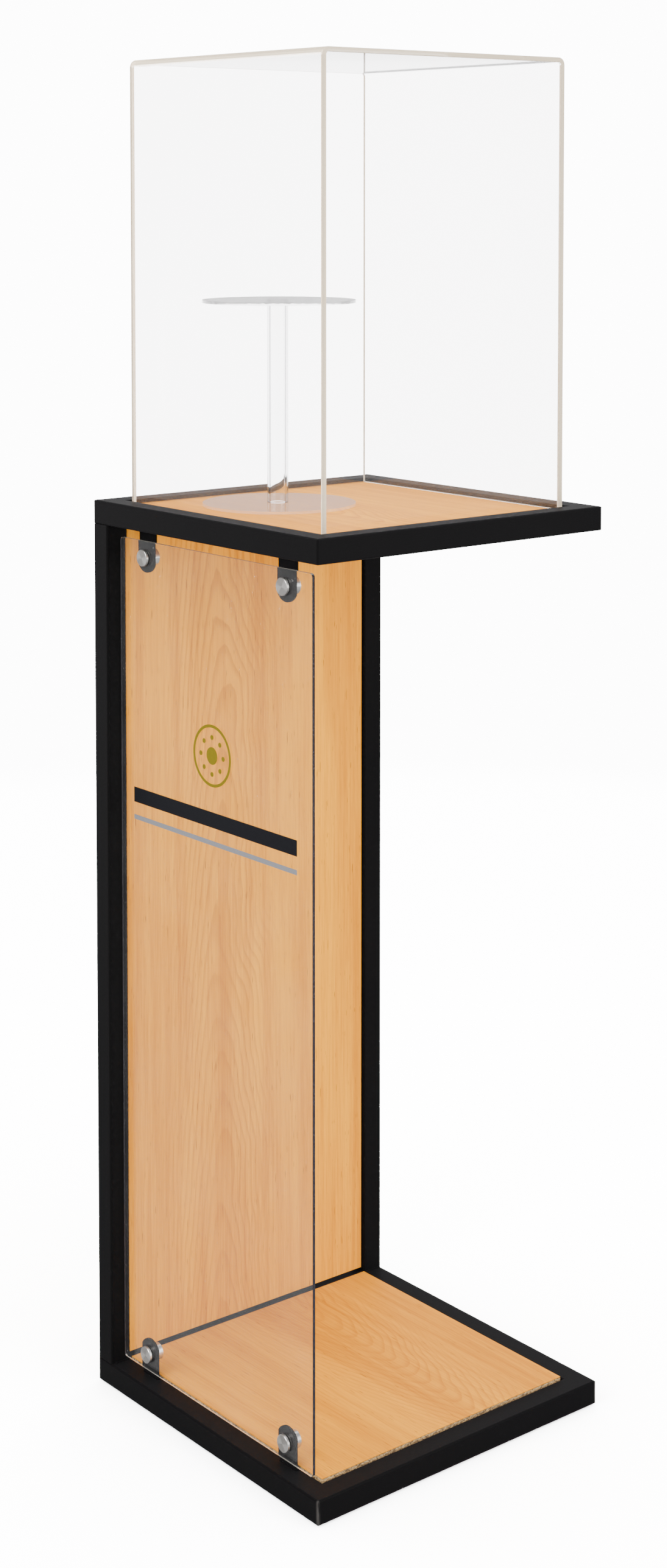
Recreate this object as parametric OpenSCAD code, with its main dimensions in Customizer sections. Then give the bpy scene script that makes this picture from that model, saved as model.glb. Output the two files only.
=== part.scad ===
// Display plinth: a C-shaped frame of square steel tube that carries a base panel, a back panel and a deck,
// with a clear sign panel on its front and a clear lift-off cover over a loose riser on its deck.
// The origin is on the floor under the middle of the frame. The sign faces -Y and the back panel is at -X.

/* [Frame] */
// Outside width of the frame, along X
frame_w = 381; // [320:1:460]
// Outside depth of the frame, along Y
frame_d = 381; // [320:1:460]
// Height of the welded frame, without its pads
frame_h = 965.2; // [760:0.1:1160]
// Outside size of the square tube
tube = 25.4; // [20:0.1:32]
// Wall of the square tube
tube_wall = 1.5; // [1.2:0.1:3]
// Outside corner radius of the square tube
tube_r = 2.2; // [1.8:0.1:3]
// Radius ground on the frame's four vertical corners
corner_r = 2; // [0.5:0.1:2]
// Diameter of a floor pad
pad_d = 19; // [12:1:20]
// Thickness of a floor pad
pad_t = 1.5; // [0.5:0.1:4]

/* [Panels] */
// Full thickness of every panel, laminate included
panel_t = 16; // [12:0.5:18]
// Thickness of one laminate sheet
laminate_t = 0.8; // [0.5:0.1:1.2]
// Clearance around the base and deck panels
panel_gap = 1.5; // [0.5:0.1:3]
// How far the base panel stands above the base frame
base_proud = 2.6; // [0:0.1:6]
// Clearance beside and above the back panel
back_gap = 2; // [0.5:0.1:4]
// Clearance under the back panel
back_lift = 6; // [0.5:0.1:10]

/* [Gussets, ears and screws] */
// Leg of a corner gusset
gusset_leg = 42; // [32:1:60]
// Thickness of a corner gusset
gusset_t = 3; // [2:0.5:5]
// Distance of a gusset's screw from both tubes
gusset_hole = 14; // [12:1:18]
// Distance of the deck gussets from the lower edge of the tubes' flat sides
gusset_margin = 0.2; // [0:0.1:4]
// How far an ear reaches from its upright
ear_reach = 28; // [24:1:40]
// Height of an ear
ear_h = 30; // [20:1:50]
// Thickness of an ear
ear_t = 2.5; // [2:0.5:3]
// Distance of the ears from the outer edge of the uprights' flat sides
ear_margin = 1.7; // [0:0.1:3]
// Height of the lower ears above the base frame, and of the upper ones below the top frame
ear_offset = 120; // [60:5:250]
// Diameter of a panel screw
screw_d = 4; // [3:0.5:5]
// Length of a panel screw under its head
screw_l = 12; // [10:1:14]
// Diameter of a panel screw's head
screw_head_d = 8; // [7:0.5:10]
// Height of a panel screw's head
screw_head_h = 2.2; // [1.6:0.1:3]

/* [Sign] */
// Thickness of the sign panel
sign_t = 3.2; // [2:0.1:6]
// Gap between the sign and the tube above it
sign_gap_top = 12.7; // [4:0.1:24]
// Gap between the sign and the tube below it
sign_gap_bottom = 7; // [4:0.1:24]
// Gap between the sign and the upright beside it
sign_side_gap = 2.1; // [1:0.1:10]
// Corner radius of the sign panel
sign_r = 4; // [1:0.5:20]
// Distance of the sign's fixings from its side edges
fixing_side = 44; // [24:1:90]
// Distance of the sign's fixings from its top and bottom edges
fixing_inset = 17.6; // [16:0.1:40]
// Width of a sign tab
tab_w = 28; // [22:0.2:40]
// How far a tab's straight sides reach past its fixing, before its round end
tab_shoulder = 7.5; // [0:0.5:10]
// Thickness of a sign tab
tab_t = 3; // [2:0.1:4]
// Distance of the tabs from the inner edge of the tubes' flat sides
tab_margin = 0.7; // [0:0.1:6]

/* [Sign fixings] */
// Diameter of a cap
cap_d = 18; // [14:0.5:22]
// Thickness of a cap
cap_t = 2.8; // [2.4:0.1:5]
// Chamfer on the edges of a cap and a barrel
cap_chamfer = 0.5; // [0.2:0.1:0.8]
// Diameter of the rubber washers
washer_d = 16.4; // [13:0.2:21]
// Thickness of a rubber washer
washer_t = 0.8; // [0.5:0.1:2]
// Diameter of the hole through the acrylic
sign_hole_d = 10; // [9:0.5:12]
// Diameter of a barrel, behind the tab
barrel_d = 18; // [14:0.5:22]
// Length of a barrel
barrel_l = 9; // [5:0.5:20]
// Diameter of the threaded stud
stud_d = 6; // [4:0.5:7]
// Depth of the stud in a cap
stud_in_cap = 1.6; // [1:0.1:1.9]
// Depth of the stud in a barrel
stud_in_barrel = 4.5; // [3:0.1:4.5]

/* [Sign motif] */
// Thickness of the printed film
film_t = 0.2; // [0.1:0.1:0.5]
// Outside diameter of the ring
ring_d = 64; // [40:1:90]
// Line width of the ring
ring_line = 3; // [1:0.5:6]
// Number of dots inside the ring
dot_count = 8; // [6:1:12]
// Diameter of a dot
dot_d = 5; // [2:0.5:6]
// Diameter of the disc in the middle
hub_d = 18; // [8:1:20]
// Height of the ring's centre above the middle of the sign
ring_rise = 241; // [0:1:260]
// Height of the dark bar above the middle of the sign
dark_bar_rise = 175; // [0:1:190]
// Height of the dark bar
dark_bar_h = 16; // [4:1:24]
// Height of the light bar above the middle of the sign
light_bar_rise = 151; // [0:1:160]
// Height of the light bar
light_bar_h = 5; // [2:1:10]
// Distance of the bars' ends from the sign's side edges
bar_margin = 24; // [10:1:60]

/* [Cover] */
// Thickness of the cover's acrylic
cover_t = 5; // [3:0.5:8]
// Clearance between the cover and the frame around it
cover_gap = 4; // [1:0.1:8]
// Height of the cover
cover_h = 470; // [380:1:570]
// Outside radius of the cover's two bends
bend_r = 8; // [8:0.5:14]

/* [Riser] */
// Diameter of the riser's two discs
riser_d = 159; // [100:1:200]
// Height of the riser
riser_h = 218; // [120:1:270]
// Thickness of a disc
disc_t = 3; // [2:0.5:8]
// Outside diameter of the riser's tube
riser_tube_d = 22; // [16:0.5:40]
// Wall of the riser's tube
riser_tube_wall = 3; // [2:0.5:4]
// Gap between the riser and the cover's end at -X
riser_gap_x = 19; // [5:1:30]
// Gap between the riser and the cover's front wall
riser_gap_y = 34; // [5:1:50]

/* [Hidden] */
$fn = 48;
screw_clearance = 0.05;
hole_clearance = 0.25;
tip_flat = 4;
frame_black = [0.12, 0.12, 0.125];
maple = [0.88, 0.73, 0.53];
chipboard = [0.62, 0.50, 0.34];
steel = [0.72, 0.71, 0.69];
rubber_black = [0.06, 0.06, 0.06];
acrylic = [0.85, 0.90, 0.92, 0.35];
gold = [0.72, 0.62, 0.22];

// Levels, from the floor up
base_z = pad_t;
base_top = base_z + tube;
top_z = base_z + frame_h - tube;
base_panel_z = base_top + base_proud - panel_t;
deck_z = top_z + tube_r + gusset_margin + gusset_t;
deck_top = deck_z + panel_t;

// The space inside the tubes, and the panels in it
open_w = frame_w - 2 * tube;
open_d = frame_d - 2 * tube;
board_w = open_w - 2 * panel_gap;
board_d = open_d - 2 * panel_gap;
screw_x = open_w / 2 - gusset_hole;
screw_y = open_d / 2 - gusset_hole;

// Back panel
back_x = -frame_w / 2 + tube_r + ear_margin + ear_t;
back_w = open_d - 2 * back_gap;
back_z = base_top + back_lift;
back_h = top_z - base_top - back_lift - back_gap;
ear_levels = [base_top + ear_offset, top_z - ear_offset];

// Sign and its fixings, from the front backwards
sign_y = -open_d / 2 - tube_r - tab_margin - tab_t - washer_t - sign_t;
sign_w = open_w - 2 * sign_side_gap;
sign_bottom = base_top + sign_gap_bottom;
sign_top = top_z - sign_gap_top;
sign_h = sign_top - sign_bottom;
sign_mid = (sign_top + sign_bottom) / 2;
tab_y = sign_y + sign_t + washer_t;
barrel_y = tab_y + tab_t;
cap_y = sign_y - washer_t - cap_t;
stud_y = sign_y - washer_t - stud_in_cap;
stud_l = barrel_y + stud_in_barrel - stud_y;
fixing_x = sign_w / 2 - fixing_side;
fixing_levels = [sign_bottom + fixing_inset, sign_top - fixing_inset];
bar_w = sign_w - 2 * bar_margin;

// Cover and riser
cover_w = open_w - 2 * cover_gap;
cover_d = open_d - 2 * cover_gap;
riser_x = -cover_w / 2 + cover_t + riser_gap_x + riser_d / 2;
riser_y = -cover_d / 2 + cover_t + riser_gap_y + riser_d / 2;

// ---- Shapes that repeat ----

// A rectangle with round corners, centred on the origin
module rounded_rect(w, h, r) {
    square([w - 2 * r, h], center = true);
    square([w, h - 2 * r], center = true);
    for (x = [-1, 1], y = [-1, 1])
        translate([x * (w / 2 - r), y * (h / 2 - r)]) circle(r);
}

// The cross section of the steel tube
module tube_section() {
    difference() {
        rounded_rect(tube, tube, tube_r);
        rounded_rect(tube - 2 * tube_wall, tube - 2 * tube_wall, tube_r - tube_wall);
    }
}

// One side of a mitred square frame, made at the front and turned about Z to its place
module frame_side(turn, length, reach, z) {
    color(frame_black)
    translate([0, 0, z])
    rotate([0, 0, turn])
    intersection() {
        translate([0, tube / 2 - reach, tube / 2])
            rotate([90, 0, 90])
            linear_extrude(length, center = true) tube_section();
        linear_extrude(tube)
            intersection() {
                polygon([[-length / 2, -reach], [length / 2, -reach],
                         [length / 2 - tube, tube - reach], [tube - length / 2, tube - reach]]);
                rounded_rect(length, 2 * reach, corner_r);
            }
    }
}

// An upright between the base frame and the top frame, at one end of the -X side
module upright(side) {
    color(frame_black)
    translate([(tube - frame_w) / 2, side * (frame_d - tube) / 2, base_top])
        linear_extrude(top_z - base_top) tube_section();
}

// Puts a shape that is made for the corner at -X -Y into all four corners
module at_corners(x, y) {
    for (sx = [-1, 1], sy = [-1, 1])
        translate([sx * x, sy * y, 0])
        mirror([sx > 0 ? 1 : 0, 0, 0])
        mirror([0, sy > 0 ? 1 : 0, 0])
            children();
}

// A pan-head screw that points along +Z, with the underside of its head at z = 0
module panel_screw() {
    tip = screw_d / 2;
    rim = screw_head_h / 2;
    slot = screw_d * 0.9;
    slot_w = 0.9;
    difference() {
        union() {
            cylinder(h = screw_l - tip, d = screw_d);
            translate([0, 0, screw_l - tip]) cylinder(h = tip, d1 = screw_d, d2 = 0.4);
            translate([0, 0, -rim]) cylinder(h = rim, d = screw_head_d);
            translate([0, 0, -screw_head_h])
                cylinder(h = rim, d1 = screw_head_d * 0.7, d2 = screw_head_d);
        }
        for (turn = [0, 90])
            rotate([0, 0, turn])
            translate([0, 0, -screw_head_h])
                cube([slot, slot_w, 2 * rim], center = true);
    }
}

// A triangular plate for an inside corner at -X -Y, with its screw hole
module corner_gusset() {
    linear_extrude(gusset_t)
        difference() {
            polygon([[0, 0], [gusset_leg, 0], [gusset_leg, tip_flat], [tip_flat, gusset_leg], [0, gusset_leg]]);
            translate([gusset_hole, gusset_hole]) circle(d = screw_d + 2 * hole_clearance);
        }
}

// A flat board that lies in the frame, with pilot holes for its screws from below
module lying_board(z, thickness, pilot_top) {
    difference() {
        translate([0, 0, z])
            linear_extrude(thickness) square([board_w, board_d], center = true);
        for (sx = [-1, 1], sy = [-1, 1])
            translate([sx * screw_x, sy * screw_y, z - 1])
                cylinder(h = pilot_top - z + 1, d = screw_d + 2 * screw_clearance);
    }
}

// A board that stands between the uprights, with pilot holes for its screws from behind
module standing_board(x, thickness, pilot_end) {
    difference() {
        translate([x, -back_w / 2, back_z]) cube([thickness, back_w, back_h]);
        for (side = [-1, 1], z = ear_levels)
            translate([x - 1, side * (open_d / 2 - ear_reach / 2), z])
            rotate([0, 90, 0])
                cylinder(h = pilot_end - x + 1, d = screw_d + 2 * screw_clearance);
    }
}

// Puts a shape whose axis is +Z on the four sign fixings, pointing along +Y from the plane y
module at_fixings(y) {
    for (side = [-1, 1], z = fixing_levels)
        translate([side * fixing_x, y, z])
        rotate([-90, 0, 0])
            children();
}

// A flat shape drawn in the plane of the sign, raised towards the front from the plane y
module on_sign(y, rise, thickness) {
    translate([0, y, sign_mid + rise])
    rotate([90, 0, 0])
        linear_extrude(thickness) children();
}

// ---- Frame ----

module base_tube_front() frame_side(0, frame_w, frame_d / 2, base_z);
module base_tube_right() frame_side(90, frame_d, frame_w / 2, base_z);
module base_tube_rear() frame_side(180, frame_w, frame_d / 2, base_z);
module base_tube_left() frame_side(270, frame_d, frame_w / 2, base_z);
module top_tube_front() frame_side(0, frame_w, frame_d / 2, top_z);
module top_tube_right() frame_side(90, frame_d, frame_w / 2, top_z);
module top_tube_rear() frame_side(180, frame_w, frame_d / 2, top_z);
module top_tube_left() frame_side(270, frame_d, frame_w / 2, top_z);
module upright_front() upright(-1);
module upright_rear() upright(1);

module floor_pads() {
    color(rubber_black)
    at_corners((frame_w - tube) / 2, (frame_d - tube) / 2)
        cylinder(h = pad_t, d = pad_d);
}

module base_gussets() {
    color(frame_black)
    translate([0, 0, base_panel_z - gusset_t])
        at_corners(open_w / 2, open_d / 2) corner_gusset();
}

module deck_gussets() {
    color(frame_black)
    translate([0, 0, deck_z - gusset_t])
        at_corners(open_w / 2, open_d / 2) corner_gusset();
}

module back_panel_ears() {
    color(frame_black)
    for (side = [-1, 1], z = ear_levels)
        translate([back_x - ear_t, side * (open_d - ear_reach) / 2, z])
        rotate([0, 90, 0])
        linear_extrude(ear_t)
            difference() {
                square([ear_h, ear_reach], center = true);
                circle(d = screw_d + 2 * hole_clearance);
            }
}

// ---- Panels ----

module base_panel_core() {
    color(chipboard)
    lying_board(base_panel_z, panel_t - laminate_t, base_panel_z + screw_l - gusset_t + 0.5);
}

module base_panel_laminate() {
    color(maple)
    translate([0, 0, base_panel_z + panel_t - laminate_t])
        linear_extrude(laminate_t) square([board_w, board_d], center = true);
}

module deck_core() {
    color(chipboard)
    lying_board(deck_z + laminate_t, panel_t - 2 * laminate_t, deck_z + screw_l - gusset_t + 0.5);
}

module deck_laminate() {
    color(maple)
    translate([0, 0, deck_top - laminate_t])
        linear_extrude(laminate_t) square([board_w, board_d], center = true);
}

module deck_backer() {
    color(maple)
    lying_board(deck_z, laminate_t, deck_top);
}

module back_panel_core() {
    color(chipboard)
    standing_board(back_x + laminate_t, panel_t - 2 * laminate_t, back_x + screw_l - ear_t + 0.5);
}

module back_panel_face() {
    color(maple)
    translate([back_x + panel_t - laminate_t, -back_w / 2, back_z]) cube([laminate_t, back_w, back_h]);
}

module back_panel_rear_face() {
    color(maple)
    standing_board(back_x, laminate_t, back_x + laminate_t + 1);
}

// ---- Panel screws ----

module base_panel_screws() {
    color(steel)
    translate([0, 0, base_panel_z - gusset_t])
        at_corners(screw_x, screw_y) panel_screw();
}

module deck_screws() {
    color(steel)
    translate([0, 0, deck_z - gusset_t])
        at_corners(screw_x, screw_y) panel_screw();
}

module back_panel_screws() {
    color(steel)
    for (side = [-1, 1], z = ear_levels)
        translate([back_x - ear_t, side * (open_d - ear_reach) / 2, z])
        rotate([0, 90, 0])
            panel_screw();
}

// ---- Sign ----

// A tab with a round end: up is 1 on the base frame and -1 under the top frame
module sign_tab(side, up) {
    end_r = norm([tab_w / 2, tab_shoulder]);
    rise = fixing_inset + (up > 0 ? sign_gap_bottom : sign_gap_top);
    color(frame_black)
    translate([side * fixing_x, tab_y + tab_t, up > 0 ? base_top : top_z])
    rotate([90, 0, 0])
    linear_extrude(tab_t)
        mirror([0, up > 0 ? 0 : 1])
        difference() {
            union() {
                translate([-tab_w / 2, 0]) square([tab_w, rise]);
                translate([0, rise])
                    intersection() {
                        circle(end_r);
                        square([tab_w, 2 * end_r], center = true);
                    }
            }
            translate([0, rise]) circle(d = stud_d + 2 * hole_clearance);
        }
}

module sign_tab_lower_left() sign_tab(-1, 1);
module sign_tab_lower_right() sign_tab(1, 1);
module sign_tab_upper_left() sign_tab(-1, -1);
module sign_tab_upper_right() sign_tab(1, -1);

module sign_panel() {
    color(acrylic)
    difference() {
        on_sign(sign_y + sign_t, 0, sign_t) rounded_rect(sign_w, sign_h, sign_r);
        at_fixings(sign_y - 1) cylinder(h = sign_t + 2, d = sign_hole_d);
    }
}

module motif_rosette() {
    color(gold)
    on_sign(sign_y, ring_rise, film_t) {
        difference() {
            circle(d = ring_d);
            circle(d = ring_d - 2 * ring_line);
        }
        for (i = [0 : dot_count - 1])
            rotate(i * 360 / dot_count)
            translate([(ring_d + hub_d) / 4 - ring_line / 2, 0]) circle(d = dot_d);
        circle(d = hub_d);
    }
}

module motif_dark_bar() {
    color(rubber_black)
    on_sign(sign_y, dark_bar_rise, film_t) square([bar_w, dark_bar_h], center = true);
}

module motif_light_bar() {
    color("darkgray")
    on_sign(sign_y, light_bar_rise, film_t) square([bar_w, light_bar_h], center = true);
}

// ---- Sign fixings ----

module fixing_caps() {
    color(steel)
    at_fixings(cap_y)
        difference() {
            union() {
                cylinder(h = cap_chamfer, d1 = cap_d - 2 * cap_chamfer, d2 = cap_d);
                translate([0, 0, cap_chamfer]) cylinder(h = cap_t - cap_chamfer, d = cap_d);
            }
            translate([0, 0, cap_t - stud_in_cap])
                cylinder(h = stud_in_cap + 1, d = stud_d + 2 * screw_clearance);
        }
}

// Each front washer has a sleeve that lines the hole through the acrylic
module fixing_front_washers() {
    sleeve_gap = 0.1;
    color(rubber_black)
    at_fixings(sign_y - washer_t)
        difference() {
            union() {
                cylinder(h = washer_t, d = washer_d);
                cylinder(h = washer_t + sign_t - sleeve_gap, d = sign_hole_d - 2 * sleeve_gap);
            }
            translate([0, 0, -1])
                cylinder(h = washer_t + sign_t + 2, d = stud_d + 2 * hole_clearance);
        }
}

module fixing_back_washers() {
    color(rubber_black)
    at_fixings(sign_y + sign_t)
        difference() {
            cylinder(h = washer_t, d = washer_d);
            translate([0, 0, -1]) cylinder(h = washer_t + 2, d = stud_d + 2 * hole_clearance);
        }
}

module fixing_barrels() {
    color(steel)
    at_fixings(barrel_y)
        difference() {
            union() {
                cylinder(h = barrel_l - cap_chamfer, d = barrel_d);
                translate([0, 0, barrel_l - cap_chamfer])
                    cylinder(h = cap_chamfer, d1 = barrel_d, d2 = barrel_d - 2 * cap_chamfer);
            }
            translate([0, 0, -1])
                cylinder(h = stud_in_barrel + 1, d = stud_d + 2 * screw_clearance);
        }
}

module fixing_studs() {
    color(steel)
    at_fixings(stud_y) cylinder(h = stud_l, d = stud_d);
}

// ---- Cover ----

// The cover's outline in the YZ plane, standing on the deck, shrunk by an inset
module cover_outline(inset) {
    w = cover_d - 2 * inset;
    h = cover_h - inset;
    r = bend_r - inset;
    translate([-w / 2, 0]) square([w, h - r]);
    translate([r - w / 2, 0]) square([w - 2 * r, h]);
    for (side = [-1, 1])
        translate([side * (w / 2 - r), h - r]) circle(r);
}

module cover_wrap() {
    color(acrylic)
    translate([0, 0, deck_top])
    rotate([90, 0, 90])
    linear_extrude(cover_w, center = true)
        difference() {
            cover_outline(0);
            cover_outline(cover_t);
            translate([0, -1]) square([cover_d - 2 * cover_t, 4], center = true);
        }
}

module cover_end(side) {
    color(acrylic)
    translate([side * (cover_w - cover_t) / 2, 0, deck_top])
    rotate([90, 0, 90])
        linear_extrude(cover_t, center = true) cover_outline(cover_t);
}

module cover_end_left() cover_end(-1);
module cover_end_right() cover_end(1);

// ---- Riser ----

// Puts a round shape on the riser's axis, at a height above the deck
module at_riser(z) {
    translate([riser_x, riser_y, deck_top + z]) children();
}

module riser_base_disc() {
    color(acrylic)
    at_riser(0) cylinder(h = disc_t, d = riser_d);
}

module riser_tube() {
    tube_l = riser_h - 2 * disc_t;
    color(acrylic)
    at_riser(disc_t)
        difference() {
            cylinder(h = tube_l, d = riser_tube_d);
            translate([0, 0, -1]) cylinder(h = tube_l + 2, d = riser_tube_d - 2 * riser_tube_wall);
        }
}

module riser_top_disc() {
    color(acrylic)
    at_riser(riser_h - disc_t) cylinder(h = disc_t, d = riser_d);
}

base_tube_front();
base_tube_rear();
base_tube_left();
base_tube_right();
top_tube_front();
top_tube_rear();
top_tube_left();
top_tube_right();
upright_front();
upright_rear();
floor_pads();
base_gussets();
deck_gussets();
back_panel_ears();
base_panel_core();
base_panel_laminate();
deck_core();
deck_laminate();
deck_backer();
back_panel_core();
back_panel_face();
back_panel_rear_face();
base_panel_screws();
deck_screws();
back_panel_screws();
sign_tab_lower_left();
sign_tab_lower_right();
sign_tab_upper_left();
sign_tab_upper_right();
sign_panel();
motif_rosette();
motif_dark_bar();
motif_light_bar();
fixing_caps();
fixing_front_washers();
fixing_back_washers();
fixing_barrels();
fixing_studs();
cover_wrap();
cover_end_left();
cover_end_right();
riser_base_disc();
riser_tube();
riser_top_disc();
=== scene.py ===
# %% [markdown]
# # A display plinth in steel, maple and acrylic
#
# This lesson dresses a shop or museum plinth: a C-shaped frame of black square tube, three maple-faced
# boards, a clear sign panel on four stand-off fixings, and a clear cover over a small riser.

import math

import bmesh
import bpy
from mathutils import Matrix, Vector


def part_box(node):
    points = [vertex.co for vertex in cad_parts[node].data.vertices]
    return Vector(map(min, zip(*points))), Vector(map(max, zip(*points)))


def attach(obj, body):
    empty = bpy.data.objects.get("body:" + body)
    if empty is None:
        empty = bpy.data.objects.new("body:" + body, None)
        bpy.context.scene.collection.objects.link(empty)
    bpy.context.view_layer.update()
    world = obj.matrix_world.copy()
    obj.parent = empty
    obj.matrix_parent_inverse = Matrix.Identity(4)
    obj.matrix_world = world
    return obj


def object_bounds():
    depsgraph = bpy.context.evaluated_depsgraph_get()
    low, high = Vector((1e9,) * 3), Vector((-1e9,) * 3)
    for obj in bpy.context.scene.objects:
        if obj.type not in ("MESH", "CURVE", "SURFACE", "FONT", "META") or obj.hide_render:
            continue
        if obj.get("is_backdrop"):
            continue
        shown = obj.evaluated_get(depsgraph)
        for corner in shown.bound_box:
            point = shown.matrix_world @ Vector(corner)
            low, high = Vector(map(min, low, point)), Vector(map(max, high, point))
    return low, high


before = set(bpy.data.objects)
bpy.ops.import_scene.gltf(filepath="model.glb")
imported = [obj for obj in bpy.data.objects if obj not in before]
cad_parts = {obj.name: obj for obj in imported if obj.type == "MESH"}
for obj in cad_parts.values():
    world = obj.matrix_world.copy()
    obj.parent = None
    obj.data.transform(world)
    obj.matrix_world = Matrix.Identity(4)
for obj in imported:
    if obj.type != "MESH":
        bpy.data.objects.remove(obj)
cad_low, cad_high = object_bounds()
nodes = list(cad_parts)
print(len(nodes), "pieces, from", tuple(cad_low), "to", tuple(cad_high))

# %% [markdown]
# ## The camera
#
# The plinth is taller than it is wide, so whoever stands behind a real camera steps back, holds it at chest
# height and nearly level, and slides the lens down (a shift) to keep the uprights parallel. The same can be
# done here with the camera's shift. A plain tilt would be simpler, but it makes tall things lean inwards.

# %% Stand at the corner between the sign and the open side
EYE = Vector((1.962, -1.616, 1.294))
HEADING = math.radians(50.80)
TILT = math.radians(3.61)
LENS = 55.65
SENSOR = 36.0
SHIFT = -0.28

camera_data = bpy.data.cameras.new("camera")
camera_data.lens = LENS
camera_data.sensor_width = SENSOR
camera_data.shift_y = SHIFT
camera = bpy.data.objects.new("camera", camera_data)
camera.location = EYE
camera.rotation_euler = (math.pi / 2 - TILT, 0, HEADING)
bpy.context.scene.collection.objects.link(camera)
bpy.context.scene.camera = camera
print("the camera stands", round(EYE.xy.length, 2), "m from the plinth's axis")

# %% [markdown]
# ## Sums as nodes
#
# Every finish below is a pattern worked out from a point's place on the piece. Nodes can be wired one by
# one, but a sum reads better as a sum. So one small class wraps a socket and gives it the usual operators:
# writing `1 - mask` adds a Math node and returns its result.


# %% A value that flows through the nodes
class Flow:
    """A socket whose sums add Math nodes to its material."""

    def __init__(self, finish, socket):
        self.finish = finish
        self.socket = socket

    def math(self, operation, *values):
        return self.finish.node("ShaderNodeMath", {"operation": operation}, dict(enumerate(values)))

    def __add__(self, other):
        return self.math("ADD", self, other)

    def __sub__(self, other):
        return self.math("SUBTRACT", self, other)

    def __rsub__(self, other):
        return self.math("SUBTRACT", other, self)

    def __mul__(self, other):
        return self.math("MULTIPLY", self, other)

    def __truediv__(self, other):
        return self.math("DIVIDE", self, other)

    def __abs__(self):
        return self.math("ABSOLUTE", self)

    __radd__ = __add__
    __rmul__ = __mul__

    def largest(self, other):
        return self.math("MAXIMUM", self, other)

    def fraction(self):
        return self.math("FRACT", self)

    def root(self):
        return self.math("SQRT", self)


print("sums on sockets are ready")

# %% [markdown]
# A finish is a material with an empty node tree and a few tools: one that adds any node, and short names for
# the patterns that come back again and again (noise, a soft step between two levels, a mix of colours).


# %% A finish
class Finish:
    """A material under construction."""

    def __init__(self, name, tree=None):
        if tree is None:
            self.material = bpy.data.materials.new(name)
            self.material.use_nodes = True
            tree = self.material.node_tree
        self.tree = tree
        self.tree.nodes.clear()

    def node(self, kind, settings, sockets, output=0):
        """Adds a node: its settings first, then its sockets by name or number."""
        made = self.tree.nodes.new(kind)
        for key, value in settings.items():
            setattr(made, key, value)
        for key, value in sockets.items():
            socket = made.inputs[key]
            if isinstance(value, Flow):
                self.tree.links.new(value.socket, socket)
            elif isinstance(value, tuple) and len(socket.default_value) == 4:
                socket.default_value = (*value, 1.0)
            else:
                socket.default_value = value
        return Flow(self, made.outputs[output]) if made.outputs else None

    def place(self):
        """Where a point is on the piece, in metres."""
        return self.node("ShaderNodeTexCoord", {}, {}, "Object")

    def outward(self):
        """Which way the surface faces on the piece."""
        return self.node("ShaderNodeTexCoord", {}, {}, "Normal")

    def axes(self, vector):
        """The X, Y and Z parts of a vector."""
        parts = self.node("ShaderNodeSeparateXYZ", {}, {0: vector}).socket.node
        return [Flow(self, socket) for socket in parts.outputs]

    def point(self, x, y, z):
        return self.node("ShaderNodeCombineXYZ", {}, {0: x, 1: y, 2: z})

    def noise(self, vector, scale, detail=3.0, rough=0.5):
        sockets = {"Vector": vector, "Scale": scale, "Detail": detail, "Roughness": rough}
        return self.node("ShaderNodeTexNoise", {}, sockets)

    def step(self, value, low, high, top=1.0):
        """0 below low, top above high and a soft ramp between them."""
        sockets = {"Value": value, "From Min": low, "From Max": high, "To Max": top}
        return self.node("ShaderNodeMapRange", {"interpolation_type": "SMOOTHSTEP"}, sockets)

    def blend(self, first, second, share):
        """A mix of two colours."""
        return self.node("ShaderNodeMix", {"data_type": "RGBA"}, {0: share, 6: first, 7: second}, 2)

    def relief(self, height, depth):
        """A bumped normal from a height of 0 to 1 that stands for a depth in metres."""
        return self.node("ShaderNodeBump", {}, {"Height": height, "Distance": depth}, "Normal")

    def surface(self, **looks):
        """A Principled shader, with its sockets' names in place of underscores."""
        named = {key.replace("_", " "): value for key, value in looks.items()}
        return self.node("ShaderNodeBsdfPrincipled", {}, named)

    def show(self, shader):
        self.node("ShaderNodeOutputMaterial", {}, {"Surface": shader})
        return self.material


print("the finish bench is ready")

# %% [markdown]
# ## The sweep and the light
#
# A product studio lights the white sweep behind the object on its own, much brighter than the light that
# falls on the piece, so that paper turns white while black paint stays black. Here the world is that sweep.
# A ray that comes straight from the lens, or through clear acrylic, sees it bright. A mirrored ray sees a dim
# studio, apart from the strip behind the plinth where the sweep hangs: bright below the horizon, where it
# curves into the floor, and weaker above it. A scattered ray sees a calm studio all round. Two real backdrops
# with their own lamps could do the same, but a world keeps the paper white from every side.

# %% The sweep behind the plinth
SWEEP = 13.0
SWEEP_MIRRORED_LOW = 8.0
SWEEP_MIRRORED_HIGH = 1.2
STUDIO = 1.35
STUDIO_MIRRORED = 0.32
STRIP = (0.40, 0.90)
STRIP_HEIGHT = (0.15, 0.45)
HORIZON = 0.02

world = bpy.data.worlds.new("studio")
world.use_nodes = True
bpy.context.scene.world = world
sky = Finish("studio", world.node_tree)


def untouched(finish, kind):
    """1 for a ray that has not yet met a surface of this kind, Diffuse or Glossy, since the lens."""
    depth = finish.node("ShaderNodeLightPath", {}, {}, kind + " Depth")
    return depth.math("LESS_THAN", depth, 0.5)


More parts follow.
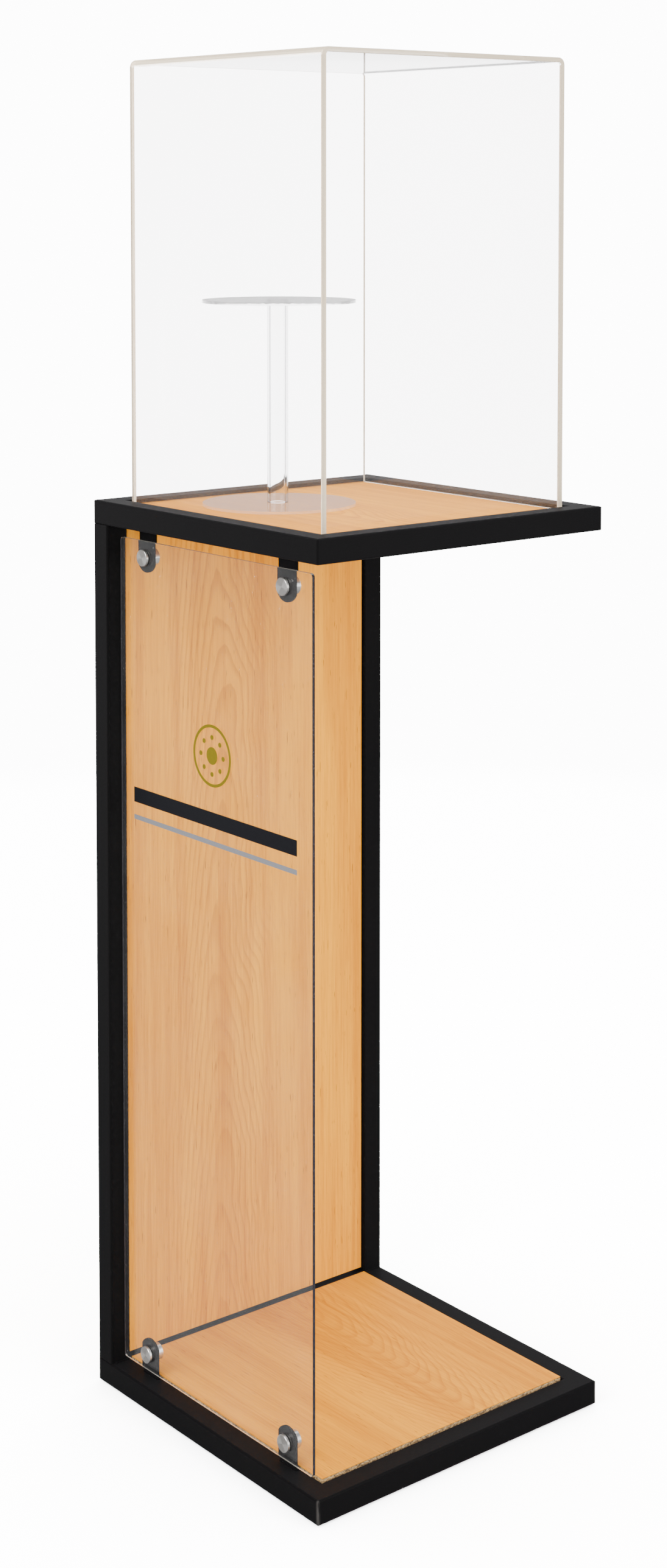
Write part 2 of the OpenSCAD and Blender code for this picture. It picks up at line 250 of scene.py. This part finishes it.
x, y, z = sky.axes(sky.node("ShaderNodeTexCoord", {}, {}, "Generated"))
behind = sky.step(y * math.cos(HEADING) - x * math.sin(HEADING), *STRIP)
low = 1 - sky.step(abs(z), *STRIP_HEIGHT)
unscattered = untouched(sky, "Diffuse")
unmirrored = untouched(sky, "Glossy")
sweep = sky.step(z, HORIZON, -HORIZON, SWEEP_MIRRORED_LOW - SWEEP_MIRRORED_HIGH) + SWEEP_MIRRORED_HIGH
mirrored = STUDIO_MIRRORED + (sweep - STUDIO_MIRRORED) * behind * low
seen = unmirrored * SWEEP + (1 - unmirrored) * mirrored
glow = unscattered * seen + (1 - unscattered) * STUDIO
backdrop = sky.node("ShaderNodeBackground", {}, {"Color": (1.0, 1.0, 1.0), "Strength": glow})
sky.node("ShaderNodeOutputWorld", {}, {"Surface": backdrop})
print("the sweep is", round(SWEEP / STUDIO, 1), "times as bright as the studio")

# %% [markdown]
# The floor is the near end of the same sweep. It is a round sheet whose white answers the lens as brightly as
# the sweep does, so it keeps the plinth's soft shadow, and it fades out before its rim, which leaves no
# horizon line.

# %% The floor
FLOOR_RADIUS = 3.2
FLOOR_SIDES = 96
FADE_FROM = 0.7
FADE_TO = 3.0
PAPER_GRAIN = 180.0
PAPER_DIRECT = 4.7
PAPER_MIRRORED = 0.20
PAPER_SCATTERED = 0.75


def paper():
    """White paper that fades into the sweep."""
    f = Finish("paper")
    x, y, z = f.axes(f.place())
    far = (x * x + y * y).root()
    unscattered = untouched(f, "Diffuse")
    unmirrored = untouched(f, "Glossy")
    seen = unmirrored * PAPER_DIRECT + (1 - unmirrored) * PAPER_MIRRORED
    white = unscattered * seen + (1 - unscattered) * PAPER_SCATTERED
    grey = white * (0.97 + 0.06 * f.noise(f.place(), PAPER_GRAIN))
    sheet = f.node("ShaderNodeBsdfDiffuse", {}, {"Color": f.point(grey, grey, grey)})
    clear = f.node("ShaderNodeBsdfTransparent", {}, {})
    fade = f.step(far, FADE_FROM, FADE_TO)
    return f.show(f.node("ShaderNodeMixShader", {}, {0: fade, 1: sheet, 2: clear}))


mesh = bmesh.new()
bmesh.ops.create_circle(mesh, cap_ends=True, segments=FLOOR_SIDES, radius=FLOOR_RADIUS)
floor_mesh = bpy.data.meshes.new("floor")
mesh.to_mesh(floor_mesh)
mesh.free()
floor_mesh.materials.append(paper())
floor = bpy.data.objects.new("floor", floor_mesh)
bpy.context.scene.collection.objects.link(floor)
floor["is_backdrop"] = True
print("the floor is", 2 * FLOOR_RADIUS, "m across")

# %% [markdown]
# Three soft boxes make the form. The key stands high at the left of the lens, the fill is a large low one at
# the right, and a third hangs above and behind, so that the top edges of the tubes catch a line of light.
# Each is wider than the plinth is tall, because small lamps would draw hard shadows on a pale floor.

# %% The soft boxes
AIM = Vector((0.0, 0.0, 0.75))
SOFT_BOXES = {
    "key": {"place": (0.3, -3.2, 2.7), "width": 2.0, "height": 2.4, "watts": 120.0},
    "fill": {"place": (3.4, 0.9, 1.4), "width": 2.2, "height": 2.6, "watts": 90.0},
    "top": {"place": (-0.6, 0.7, 3.6), "width": 2.4, "height": 2.4, "watts": 72.0},
}


def soft_box(name, place, width, height, watts):
    """A square-cornered lamp that looks at the middle of the plinth."""
    lamp = bpy.data.lights.new(name, "AREA")
    lamp.shape = "RECTANGLE"
    lamp.size = width
    lamp.size_y = height
    lamp.energy = watts
    box = bpy.data.objects.new(name, lamp)
    box.location = place
    box.rotation_euler = (AIM - Vector(place)).to_track_quat("-Z", "Y").to_euler()
    bpy.context.scene.collection.objects.link(box)


for name, box in SOFT_BOXES.items():
    soft_box(name, **box)
print("soft boxes:", ", ".join(SOFT_BOXES))

# %% [markdown]
# ## Black coat on the steel
#
# The tube is powder coated: a thin black skin with a faint orange peel, about a millimetre from hill to
# hill, and a satin sheen. Where corners were ground and knocked about, the skin is thinner and greyer, and a
# few chips show pale primer along the lowest edges. All of this comes from a point's place: the distance to
# a frame corner tells where wear belongs. The sizes of such patterns are given as features per metre.

# %% The coat
HALF_W = cad_high.x
BASE_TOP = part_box("base_tube_front")[1].z
PEEL = 900.0
PEEL_DEPTH = 0.00004
CLOUDS = 14.0
EDGE = (0.0040, 0.0004)
CHIPPED_BELOW = (0.0020, 0.0075)
SCUFF_ACROSS = 260.0
SCUFF_ALONG = 40.0
FLAKES = 420.0
PATCHES = 22.0
BLACK = (0.0018, 0.0017, 0.0020)
BLACK_CLOUD = (0.0032, 0.0030, 0.0031)
RUBBED = (0.060, 0.056, 0.053)
CHIP = (0.30, 0.28, 0.26)


def powder_coat():
    """Satin black, rubbed grey at the base frame's corners and chipped along its lowest edges."""
    f = Finish("powder_coat")
    place = f.place()
    x, y, z = f.axes(place)
    peel = f.noise(place, PEEL, 2.0)
    cloud = f.noise(place, CLOUDS, 4.0)
    edge_x = f.step(abs(x), HALF_W - EDGE[0], HALF_W - EDGE[1])
    edge_y = f.step(abs(y), HALF_W - EDGE[0], HALF_W - EDGE[1])
    lowest = 1 - f.step(z, *CHIPPED_BELOW)
    in_base = 1 - f.step(z, BASE_TOP, BASE_TOP + 0.002)
    streak = f.noise(f.point(x * SCUFF_ACROSS, y * SCUFF_ACROSS, z * SCUFF_ALONG), 1.0, 4.0)
    scuff = edge_x * edge_y * in_base * f.step(streak, 0.38, 0.62)
    flakes = f.step(f.noise(place, FLAKES, 5.0, 0.7), 0.60, 0.66)
    patches = f.step(f.noise(place, PATCHES, 2.0), 0.52, 0.60)
    chips = lowest * (edge_x + edge_y) * flakes * patches
    marked = f.blend(f.blend(BLACK, BLACK_CLOUD, cloud), RUBBED, scuff * 0.7)
    shader = f.surface(
        Base_Color=f.blend(marked, CHIP, f.step(chips, 0.2, 0.9)),
        Roughness=0.40 + 0.10 * cloud + 0.08 * peel,
        Specular_IOR_Level=0.04,
        Normal=f.relief(peel, PEEL_DEPTH),
    )
    return f.show(shader)


coat = powder_coat()
print("coat:", len(coat.node_tree.nodes), "nodes")

# %% [markdown]
# ## Maple laminate
#
# The boards are faced with a printed maple sheet. A tree's rings are shells around its heart, and a sawn
# board cuts through them almost along the trunk, so the rings open into long nested arches. The print can be
# drawn the same way: a ring's number is the distance to the heart line, plus a little for the trunk's taper,
# counted in steps of a few millimetres. Fine fibres are noise that is stretched along the grain, and short
# dark dashes are the pores that maple shows.

# %% The maple's sizes and colours
RING = 0.0062
HEART_DEPTH = 0.020
HEART_WANDER = 0.050
SHELL_WANDER = 0.030
SHELL_RIPPLE = 0.0050
ARCH_REACH = (0.030, 0.085)
MAPLE_RELIEF = 0.00003
MAPLE_PALE = (0.86, 0.356, 0.010)
MAPLE_GOLD = (0.56, 0.188, 0.003)
MAPLE_RING = (0.34, 0.090, 0.002)
MAPLE_PORE = (0.16, 0.045, 0.002)

# How many features a metre holds, across the grain and along it.
WANDER = (5.0, 3.5)
RIPPLE = (60.0, 14.0)
ZONE = (11.0, 0.8)
BAND = (70.0, 1.8)
GRAIN = (420.0, 7.0)
FIBRE = (1500.0, 30.0)
PORE = (800.0, 48.0)
print("a ring every", round(1000 * RING, 1), "mm")

# %% The maple


def maple(name, along, heart, taper, seed, shade):
    """Maple with its grain along X or Z.

    heart is where the arches lie across the grain, taper how fast they close, seed picks the board, and shade
    scales its colours as painted light.
    """
    f = Finish(name)
    x, y, z = f.axes(f.place())
    length = {"x": x, "z": z}[along]

    def streaks(size, detail=3.0, rough=0.5):
        """Noise that is stretched along the grain."""
        return f.noise(f.point(y * size[0], length * size[1], seed), 1.0, detail, rough)

    wander = streaks(WANDER) - 0.5
    ripple = streaks(RIPPLE, 4.0) - 0.5
    off = y - heart + HEART_WANDER * wander
    shell = (off * off + HEART_DEPTH * HEART_DEPTH).root() + taper * length
    waved = shell + SHELL_WANDER * wander + SHELL_RIPPLE * ripple
    ring = (waved / RING).fraction()
    late = f.step(ring, 0.45, 0.93) * (1 - f.step(ring, 0.93, 1.0))
    arches = 1 - f.step(abs(off), *ARCH_REACH)
    zones = streaks(ZONE)
    bands = streaks(BAND, 5.0, 0.6)
    grain = streaks(GRAIN, 4.0, 0.6)
    fibre = streaks(FIBRE, 3.0, 0.6)
    pores = f.step(streaks(PORE, 1.0), 0.70, 0.74)
    tone = 0.34 * zones + 0.28 * bands + 0.22 * grain + 0.16 * fibre
    # shade scales the same maple up or down for each board: painted light and shade
    pale = tuple(shade * part for part in MAPLE_PALE)
    gold = tuple(shade * part for part in MAPLE_GOLD)
    base = f.blend(gold, pale, f.step(tone, 0.38, 0.60))
    streaked = f.blend(base, MAPLE_RING, 0.30 * f.step(bands * 0.5 + grain * 0.5, 0.56, 0.72))
    figured = f.blend(streaked, MAPLE_RING, late * (0.05 + 0.36 * arches * f.step(zones, 0.25, 0.55)))
    shader = f.surface(
        Base_Color=f.blend(figured, MAPLE_PORE, pores * 0.7),
        Roughness=0.42 + 0.10 * fibre + 0.06 * zones,
        Specular_IOR_Level=0.06,
        Normal=f.relief(grain + fibre - pores, MAPLE_RELIEF),
    )
    return f.show(shader)


# The base and the deck are darker copies of the back panel's maple: painted shade, one colour scale per
# board.
maple_back = maple("maple_back", along="z", heart=-0.037, taper=0.10, seed=3.0, shade=0.98)
maple_base = maple("maple_base", along="x", heart=0.045, taper=0.26, seed=7.0, shade=0.77)
maple_deck = maple("maple_deck", along="x", heart=-0.040, taper=0.18, seed=11.0, shade=0.80)
print("maple for three boards")

# %% [markdown]
# ## Chipboard
#
# Under the laminate is pressed chip: flakes of straw and bark about two millimetres long. A Voronoi texture
# gives each cell its own random number, which picks a flake's colour, and near the cell's edge a dark colour
# paints the shade in the small voids between flakes.

# %% The chipboard
FLAKE = 520.0
FLAKE_FLATNESS = 1.8
FLAKE_RELIEF = 0.00025
DUST_GRAIN = 2600.0
STRAW_DARK = (0.20, 0.11, 0.045)
STRAW_PALE = (0.55, 0.36, 0.16)
BARK = (0.06, 0.035, 0.018)
VOID_SHADE = (0.10, 0.06, 0.03)
SAWDUST = (0.42, 0.28, 0.13)


def chipboard():
    """Pressed flakes, as they show on a board's sawn edge."""
    f = Finish("chipboard")
    place = f.place()
    x, y, z = f.axes(place)
    cells = {"Vector": f.point(x, y, z * FLAKE_FLATNESS), "Scale": FLAKE, "Randomness": 1.0}
    pick, odd = f.axes(f.node("ShaderNodeTexVoronoi", {}, cells, "Color"))[:2]
    far = f.node("ShaderNodeTexVoronoi", {}, cells, "Distance")
    dust = f.noise(place, DUST_GRAIN, 2.0)
    straw = f.blend(STRAW_DARK, STRAW_PALE, pick)
    bark = f.blend(straw, BARK, f.step(odd, 0.74, 0.80))
    # painted shade: the voids between flakes are darkened in colour
    shaded_voids = f.blend(bark, VOID_SHADE, f.step(far, 0.55, 0.85) * 0.6)
    shader = f.surface(
        Base_Color=f.blend(shaded_voids, SAWDUST, dust * 0.35),
        Roughness=0.75 + 0.15 * dust,
        Specular_IOR_Level=0.25,
        Normal=f.relief(pick + 0.6 * dust, FLAKE_RELIEF),
    )
    return f.show(shader)


board = chipboard()
print("chipboard:", len(board.node_tree.nodes), "nodes")

# %% [markdown]
# ## Clear acrylic
#
# Cast acrylic bends light a little less than glass, at an index of 1.49. It could be faked with a see-through
# shader, but then its cut edges would stay dead, and those bright lines are what makes a clear sheet visible.
# So it is a true refracting solid. Refraction blocks lamps, so rays that only ask whether a lamp is in sight
# pass straight through.
#
# The sawn edges were scraped and only half polished, so they are partly frosted. Two of the sign's edges
# differ: the one at the open side is painted near black, and the one by the back panel gets a painted glow,
# where light that travels inside the sheet would come out. The way that a surface faces on the piece tells
# its edges from its faces.

# %% Where a sheet is cut, bent and touched
FACING = (0.60, 0.85)
BENT = (0.02, 0.30)


def cut_edges(f, axis, bent):
    """1 on a sheet's narrow cut edges.

    The axis is the one that a bent sheet's cut edges face, or that a flat sheet's two large faces face.
    """
    facing = f.step(abs(f.axes(f.outward())["xyz".index(axis)]), *FACING)
    return facing if bent else 1 - facing


def bends(f):
    """1 in the middle of a bend between a wall and the top, and 0 on the flat faces."""
    x, y, z = f.axes(f.outward())
    return f.step(abs(y) * z, *BENT)


def open_side(f):
    """1 on the cut edge at the open side."""
    return f.step(f.axes(f.outward())[0], *FACING)


def panel_side(f):
    """1 on the cut edge at the back panel's side."""
    return f.step(0.0 - f.axes(f.outward())[0], *FACING)


print("masks for cut edges, bends and the two upright edges")

# %% [markdown]
# One function makes every clear sheet. tint is what a surface lets through, veil its film of dust, frost the
# colour of its cut edges, which on the sign and the cover is partly real frost and partly painted light, and
# share how much of them is frosted. Bent sheets get a painted line of light along their bends. The riser's
# post also gets painted grey sides, painted shade where the eye looks along the tube's wall and not across
# it.

# %% The acrylic
ACRYLIC_INDEX = 1.49
WIPE_MARKS = 16.0
SPECKS = 700.0
SAW_MARKS = 900.0
DUST = (0.85, 0.85, 0.86)
OPEN_EDGE_DARK = (0.020, 0.019, 0.022)
PAINTED_EDGE_GLOW = (0.95, 0.95, 0.94)
POST_SIDE_SHADE = (0.42, 0.43, 0.44)
BEND_GLOW = 0.45


def acrylic(name, tint, veil, axis, frost, share, bent=False, painted_edges=0.0, post=False):
    """Clear sheet. axis is as for cut_edges, and used is how strongly the upright edges are painted dark and
    with a painted glow.
    """
    f = Finish(name)
    place = f.place()
    wipe = f.noise(place, WIPE_MARKS, 3.0)
    specks = f.step(f.noise(place, SPECKS, 1.0), 0.77, 0.84)
    sawn = f.noise(place, SAW_MARKS, 3.0)
    # the open side's cut edge is painted near black, and the back panel's side gets a painted glow
    open_edge_dark = painted_edges * open_side(f)
    painted_glow = painted_edges * panel_side(f)
    edge = (cut_edges(f, axis, bent) * share + open_edge_dark + painted_glow) * (0.75 + 0.5 * sawn)
    # a painted line of light along the bends, in the edges' colour
    if bent:
        edge = edge + BEND_GLOW * bends(f)
    bright = f.blend(frost, PAINTED_EDGE_GLOW, f.step(painted_glow, 0.0, 0.1))
    marked = f.blend(bright, OPEN_EDGE_DARK, f.step(open_edge_dark, 0.0, 0.1))
    dull = f.blend(DUST, marked, f.step(edge, 0.0, 0.1))
    through = tint
    if post:
        # painted shade: the post's sides turn grey where the eye looks along the wall
        slant = f.node("ShaderNodeLayerWeight", {}, {"Blend": 0.5}, "Facing")
        through = f.blend(tint, POST_SIDE_SHADE, f.step(slant, 0.45, 0.95))
    sheet = f.surface(Base_Color=through, Roughness=0.0, IOR=ACRYLIC_INDEX, Transmission_Weight=1.0)
    dust = f.surface(Base_Color=dull, Roughness=1.0, Specular_IOR_Level=0.0)
    milk = edge.largest(veil * wipe + 0.2 * specks)
    dusty = f.node("ShaderNodeMixShader", {}, {0: milk, 1: sheet, 2: dust})
    clear = f.node("ShaderNodeBsdfTransparent", {}, {"Color": tint})
    lamp_ray = f.node("ShaderNodeLightPath", {}, {}, "Is Shadow Ray")
    return f.show(f.node("ShaderNodeMixShader", {}, {0: lamp_ray, 1: dusty, 2: clear}))


print("one recipe for every clear sheet")

# %% The sign, the cover and the riser
# The sign's and the cover's warm edge colours are partly painted light on top of the frost.
SIGN_TINT = (0.990, 0.990, 0.985)
SIGN_FROST_AND_GLOW = (0.62, 0.58, 0.50)
COVER_TINT = (0.988, 0.981, 0.984)
COVER_FROST_AND_GLOW = (0.52, 0.43, 0.31)
RISER_TINT = (0.99, 0.99, 0.99)
RISER_FROST = (0.92, 0.92, 0.92)

# the sign's upright edges are painted: near black at the open side and a painted glow by the back panel
sign_acrylic = acrylic("sign_acrylic", SIGN_TINT, 0.004, "y", SIGN_FROST_AND_GLOW, 0.15, painted_edges=0.85)
cover_bent = acrylic("cover_bent", COVER_TINT, 0.004, "x", COVER_FROST_AND_GLOW, 0.75, bent=True)
cover_end = acrylic("cover_end", COVER_TINT, 0.004, "x", COVER_FROST_AND_GLOW, 0.55)
riser_disc = acrylic("riser_disc", RISER_TINT, 0.001, "z", RISER_FROST, 0.05)
riser_post = acrylic("riser_post", RISER_TINT, 0.001, "z", RISER_FROST, 0.0, post=True)
print("acrylic for the sign, the cover and the riser")

# %% [markdown]
# ## Steel, rubber and film
#
# The caps and barrels were turned on a lathe, so their faces carry rings around the fixing's own axis, and
# two fans of painted highlight cross the rings. The rings need the distance to the nearest fixing, so the sum
# folds all four fixings onto one by taking the distance from the middle on each side.

# %% Turned steel
STUD_RADIUS = 0.003
studs_low, studs_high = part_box("fixing_studs")
FIXING_X = studs_high.x - STUD_RADIUS
FIXING_MID = (studs_low.z + studs_high.z) / 2
FIXING_Z = studs_high.z - STUD_RADIUS - FIXING_MID
STEEL_SHADE = (0.46, 0.44, 0.42)
STEEL_PAINTED_HIGHLIGHT = (0.80, 0.78, 0.75)
HIGHLIGHT_TURN = 0.9
LATHE_RINGS = 9000.0
LATHE_FEED = 7000.0
LATHE_DEPTH = 0.00002


def turned_steel():
    """Fine rings around each fixing, with two fans of painted highlight across them."""
    f = Finish("turned_steel")
    x, y, z = f.axes(f.place())
    across = abs(x) - FIXING_X
    up = abs(z - FIXING_MID) - FIXING_Z
    radius = (across * across + up * up).root()
    rings = f.noise(f.point(radius, 0.0, 0.0), LATHE_RINGS, 3.0, 0.7)
    turned = f.noise(f.point(0.0, y, 0.0), LATHE_FEED, 2.0)
    angle = up.math("ARCTAN2", up, across)
    fan = angle.math("SINE", 2.0 * angle + HIGHLIGHT_TURN)
    # painted highlight: two pale fans of colour across the rings
    sheen = f.step(fan, -0.4, 1.0)
    shader = f.surface(
        Base_Color=f.blend(STEEL_SHADE, STEEL_PAINTED_HIGHLIGHT, 0.25 * rings + 0.75 * sheen),
        Metallic=1.0,
        Roughness=0.20 + 0.16 * rings,
        Normal=f.relief(rings + turned, LATHE_DEPTH),
    )
    return f.show(shader)


spun = turned_steel()
print("turned steel around x", round(FIXING_X, 3), "z", round(FIXING_Z, 3))

# %% [markdown]
# The panel screws are plain zinc-plated steel: a cooler grey with faint clouds. The pads and washers are
# black rubber, dull and slightly grainy.

# %% Plated steel and rubber
ZINC_CLOUDS = 240.0
ZINC_BRUSH = 3000.0
RUBBER_GRAIN = 2400.0
RUBBER_CLOUDS = 120.0
ZINC_SHADE = (0.40, 0.40, 0.39)
ZINC = (0.62, 0.61, 0.58)
RUBBER = (0.012, 0.012, 0.012)
RUBBER_BLOOM = (0.030, 0.029, 0.028)


def plated_steel():
    """Zinc plate with faint clouds."""
    f = Finish("plated_steel")
    place = f.place()
    cloud = f.noise(place, ZINC_CLOUDS, 4.0)
    brushed = f.noise(place, ZINC_BRUSH, 2.0)
    shader = f.surface(
        Base_Color=f.blend(ZINC_SHADE, ZINC, cloud),
        Metallic=1.0,
        Roughness=0.30 + 0.20 * cloud,
        Normal=f.relief(brushed, 0.00002),
    )
    return f.show(shader)


def rubber():
    """Dull black rubber with a grey bloom."""
    f = Finish("rubber")
    place = f.place()
    grain = f.noise(place, RUBBER_GRAIN, 3.0)
    bloom = f.noise(place, RUBBER_CLOUDS, 3.0)
    shader = f.surface(
        Base_Color=f.blend(RUBBER, RUBBER_BLOOM, bloom),
        Roughness=0.70 + 0.15 * grain,
        Specular_IOR_Level=0.30,
        Normal=f.relief(grain, 0.00005),
    )
    return f.show(shader)


zinc = plated_steel()
black_rubber = rubber()
print("plated steel and rubber")

# %% [markdown]
# The sign's own motif is cut from thin film: a gold rosette above a dark and a grey bar. Film is smooth with
# a slight pebble from its glue, and the gold one has flakes of pigment that catch the light.

# %% Film
GOLD = (0.155, 0.118, 0.004)
NEAR_BLACK = (0.004, 0.004, 0.005)
GREY = (0.16, 0.16, 0.17)
FILM_FLAKES = 2200.0
FILM_PEBBLE = 350.0


def film(name, colour, metal, rough):
    """Cut film: colour is its pigment, and metal is the share of it that is flake."""
    f = Finish(name)
    place = f.place()
    flake = f.noise(place, FILM_FLAKES, 2.0)
    pebble = f.noise(place, FILM_PEBBLE, 2.0)
    shade = tuple(0.82 * part for part in colour)
    shader = f.surface(
        Base_Color=f.blend(shade, colour, f.step(flake, 0.35, 0.65)),
        Metallic=metal,
        Specular_IOR_Level=0.05,
        Roughness=rough + 0.10 * flake,
        Normal=f.relief(pebble, 0.00003),
    )
    return f.show(shader)


gold_film = film("gold_film", GOLD, 0.20, 0.34)
dark_film = film("dark_film", NEAR_BLACK, 0.0, 0.36)
grey_film = film("grey_film", GREY, 0.0, 0.40)
print("three films")

# %% [markdown]
# ## Dressing the pieces
#
# Each piece keeps the shape that it came with. A table says which finish goes on which pieces, by the start
# of their names, and the loop checks that none is left bare.

# %% Who wears what
WARDROBE = {
    "base_tube": coat,
    "top_tube": coat,
    "upright": coat,
    "base_gussets": coat,
    "deck_gussets": coat,
    "back_panel_ears": coat,
    "sign_tab": coat,
    "floor_pads": black_rubber,
    "fixing_front_washers": black_rubber,
    "fixing_back_washers": black_rubber,
    "base_panel_core": board,
    "deck_core": board,
    "back_panel_core": board,
    "base_panel_laminate": maple_base,
    "deck_laminate": maple_deck,
    "deck_backer": maple_deck,
    "back_panel_face": maple_back,
    "back_panel_rear_face": maple_back,
    "base_panel_screws": zinc,
    "deck_screws": zinc,
    "back_panel_screws": zinc,
    "sign_panel": sign_acrylic,
    "motif_rosette": gold_film,
    "motif_dark_bar": dark_film,
    "motif_light_bar": grey_film,
    "fixing_caps": spun,
    "fixing_barrels": spun,
    "fixing_studs": zinc,
    "cover_wrap": cover_bent,
    "cover_end": cover_end,
    "riser_tube": riser_post,
    "riser": riser_disc,
}

for name in nodes:
    finish = next(look for start, look in WARDROBE.items() if name.startswith(start))
    for slot in bpy.data.objects[name].material_slots:
        slot.material = finish
print(len(nodes), "pieces dressed in", len(set(WARDROBE.values())), "finishes")

# %% [markdown]
# ## Broken edges
#
# No sawn or laser-cut edge is perfectly sharp, and the tiny rounding is what catches light. A Bevel modifier
# makes it without touching the piece's own mesh. A Weld modifier comes first, because the pieces arrive with
# each face on its own points, and a Weighted Normal one comes last to keep flat faces flat. The tubes are
# left alone: they already have their rolled corners.

# %% Soften the cut edges
EDGES = {
    "sign_panel": 0.0004,
    "cover": 0.0005,
    "riser_base_disc": 0.0004,
    "riser_top_disc": 0.0004,
    "riser_tube": 0.0003,
    "base_panel_core": 0.0003,
    "deck_core": 0.0003,
    "back_panel_core": 0.0003,
    "base_panel_laminate": 0.0002,
    "deck_laminate": 0.0002,
    "back_panel_face": 0.0002,
    "back_panel_rear_face": 0.0002,
    "sign_tab": 0.0004,
    "base_gussets": 0.0004,
    "deck_gussets": 0.0004,
    "back_panel_ears": 0.0004,
    "floor_pads": 0.0003,
}
SAME_POINT = 0.00001
SHARP = math.radians(40)


def soften(piece, width):
    """Joins the faces' points, rounds the sharp edges and keeps the flat faces flat."""
    joined = piece.modifiers.new("weld", "WELD")
    joined.merge_threshold = SAME_POINT
    bevel = piece.modifiers.new("broken_edge", "BEVEL")
    bevel.width = width
    bevel.segments = 2
    bevel.limit_method = "ANGLE"
    bevel.angle_limit = SHARP
    normals = piece.modifiers.new("flat_faces", "WEIGHTED_NORMAL")
    normals.weight = 50
    normals.keep_sharp = False


for name in nodes:
    for start, width in EDGES.items():
        if name.startswith(start):
            soften(bpy.data.objects[name], width)

# %% [markdown]
# ## Weld beads
#
# The gussets, ears, tabs and upright feet are welded where they meet the tubes, and a welder's hand leaves a
# bead of small overlapping ripples. A bead is a thin tube along the seam whose radius swells and shrinks once
# per ripple. It is half sunk into the steel, and it is coated with everything else.

# %% Run the beads
BEAD = 0.0013
BEAD_RIPPLE = 0.0021
SWELL = 0.16
END_TAPER = 0.35
STEPS_PER_RIPPLE = 4
BEAD_SIDES = 8


def run_bead(shape, start, end):
    """Adds a rippled tube from start to end to a bmesh."""
    start = Vector(start)
    along = Vector(end) - start
    turn = along.to_track_quat("Z", "Y")
    steps = max(2, round(along.length / BEAD_RIPPLE * STEPS_PER_RIPPLE))
    rings = []
    for step in range(steps + 1):
        swell = 1 + SWELL * math.sin(2 * math.pi * step / STEPS_PER_RIPPLE)
        taper = END_TAPER if step in (0, steps) else 1.0
        ring = []
        for side in range(BEAD_SIDES):
            angle = 2 * math.pi * side / BEAD_SIDES
            spoke = Vector((math.cos(angle), math.sin(angle), 0)) * BEAD * swell * taper
            ring.append(shape.verts.new(start + along * step / steps + turn @ spoke))
        rings.append(ring)
    for first, second in zip(rings, rings[1:]):
        for side in range(BEAD_SIDES):
            after = (side + 1) % BEAD_SIDES
            shape.faces.new((first[side], first[after], second[after], second[side]))
    shape.faces.new(rings[0][::-1])
    shape.faces.new(rings[-1])


def weld(name, seams):
    """Makes one piece from a list of seams and lets it ride on the frame."""
    shape = bmesh.new()
    for start, end in seams:
        run_bead(shape, start, end)
    for face in shape.faces:
        face.smooth = True
    mesh = bpy.data.meshes.new(name)
    shape.to_mesh(mesh)
    shape.free()
    mesh.materials.append(coat)
    piece = bpy.data.objects.new(name, mesh)
    bpy.context.scene.collection.objects.link(piece)
    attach(piece, "root")


print("a bead ripples every", round(1000 * BEAD_RIPPLE, 1), "mm")

# %% [markdown]
# The seams themselves are found from the pieces' boxes, so they stay on the steel: under both legs of every
# gusset, before and behind each tab, inside the feet and heads of the uprights, and behind the ears.

# %% Find the seams
GUSSET_LEG = 0.042
EAR_HEIGHT = 0.030
LEG_INSET = 0.004
SEAM_INSET = 0.001
ROLLED_CORNER = 0.98


def gusset_seams(name):
    """Both legs of the four gussets, along their lower faces."""
    low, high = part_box(name)
    seams = []
    for sx in (-1, 1):
        for sy in (-1, 1):
            corner = Vector((sx * high.x, sy * high.y, low.z))
            for leg in (Vector((-sx, 0, 0)), Vector((0, -sy, 0))):
                seams.append((corner + leg * LEG_INSET, corner + leg * (GUSSET_LEG - LEG_INSET)))
    return seams


def tab_seams(name):
    """The front and back seams where a tab meets its tube."""
    low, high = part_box(name)
    level = BASE_TOP if low.z < AIM.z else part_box("top_tube_front")[0].z
    left = low.x + SEAM_INSET
    right = high.x - SEAM_INSET
    return [((left, y, level), (right, y, level)) for y in (low.y, high.y)]


def foot_seams(name):
    """The two inner seams at each end of an upright."""
    low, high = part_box(name)
    inner_y, outer_y = sorted((low.y, high.y), key=abs)
    seams = []
    for level in (low.z, high.z):
        seams.append(((high.x, inner_y, level), (high.x, ROLLED_CORNER * outer_y, level)))
        seams.append(((high.x, inner_y, level), (ROLLED_CORNER * low.x, inner_y, level)))
    return seams


def ear_seams():
    """The seam behind each ear, along its upright."""
    low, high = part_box("back_panel_ears")
    seams = []
    for y in (low.y, high.y):
        for bottom in (low.z, high.z - EAR_HEIGHT):
            foot = (low.x, y, bottom + SEAM_INSET)
            head = (low.x, y, bottom + EAR_HEIGHT - SEAM_INSET)
            seams.append((foot, head))
    return seams


tabs = [name for name in nodes if name.startswith("sign_tab")]
weld("weld_base_gussets", gusset_seams("base_gussets"))
weld("weld_deck_gussets", gusset_seams("deck_gussets"))
weld("weld_tabs", [seam for name in tabs for seam in tab_seams(name)])
weld("weld_uprights", foot_seams("upright_front") + foot_seams("upright_rear"))
weld("weld_ears", ear_seams())
print("five sets of beads")

# %% [markdown]
# ## Sizes and the end
#
# The looks must not change the plinth's size, so the size is printed here, to set beside the box printed at
# the start.

# %% Write the sizes and finish
bpy.context.view_layer.update()
low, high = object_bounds()
print("size in metres:", [round(b - a, 4) for a, b in zip(low, high)])
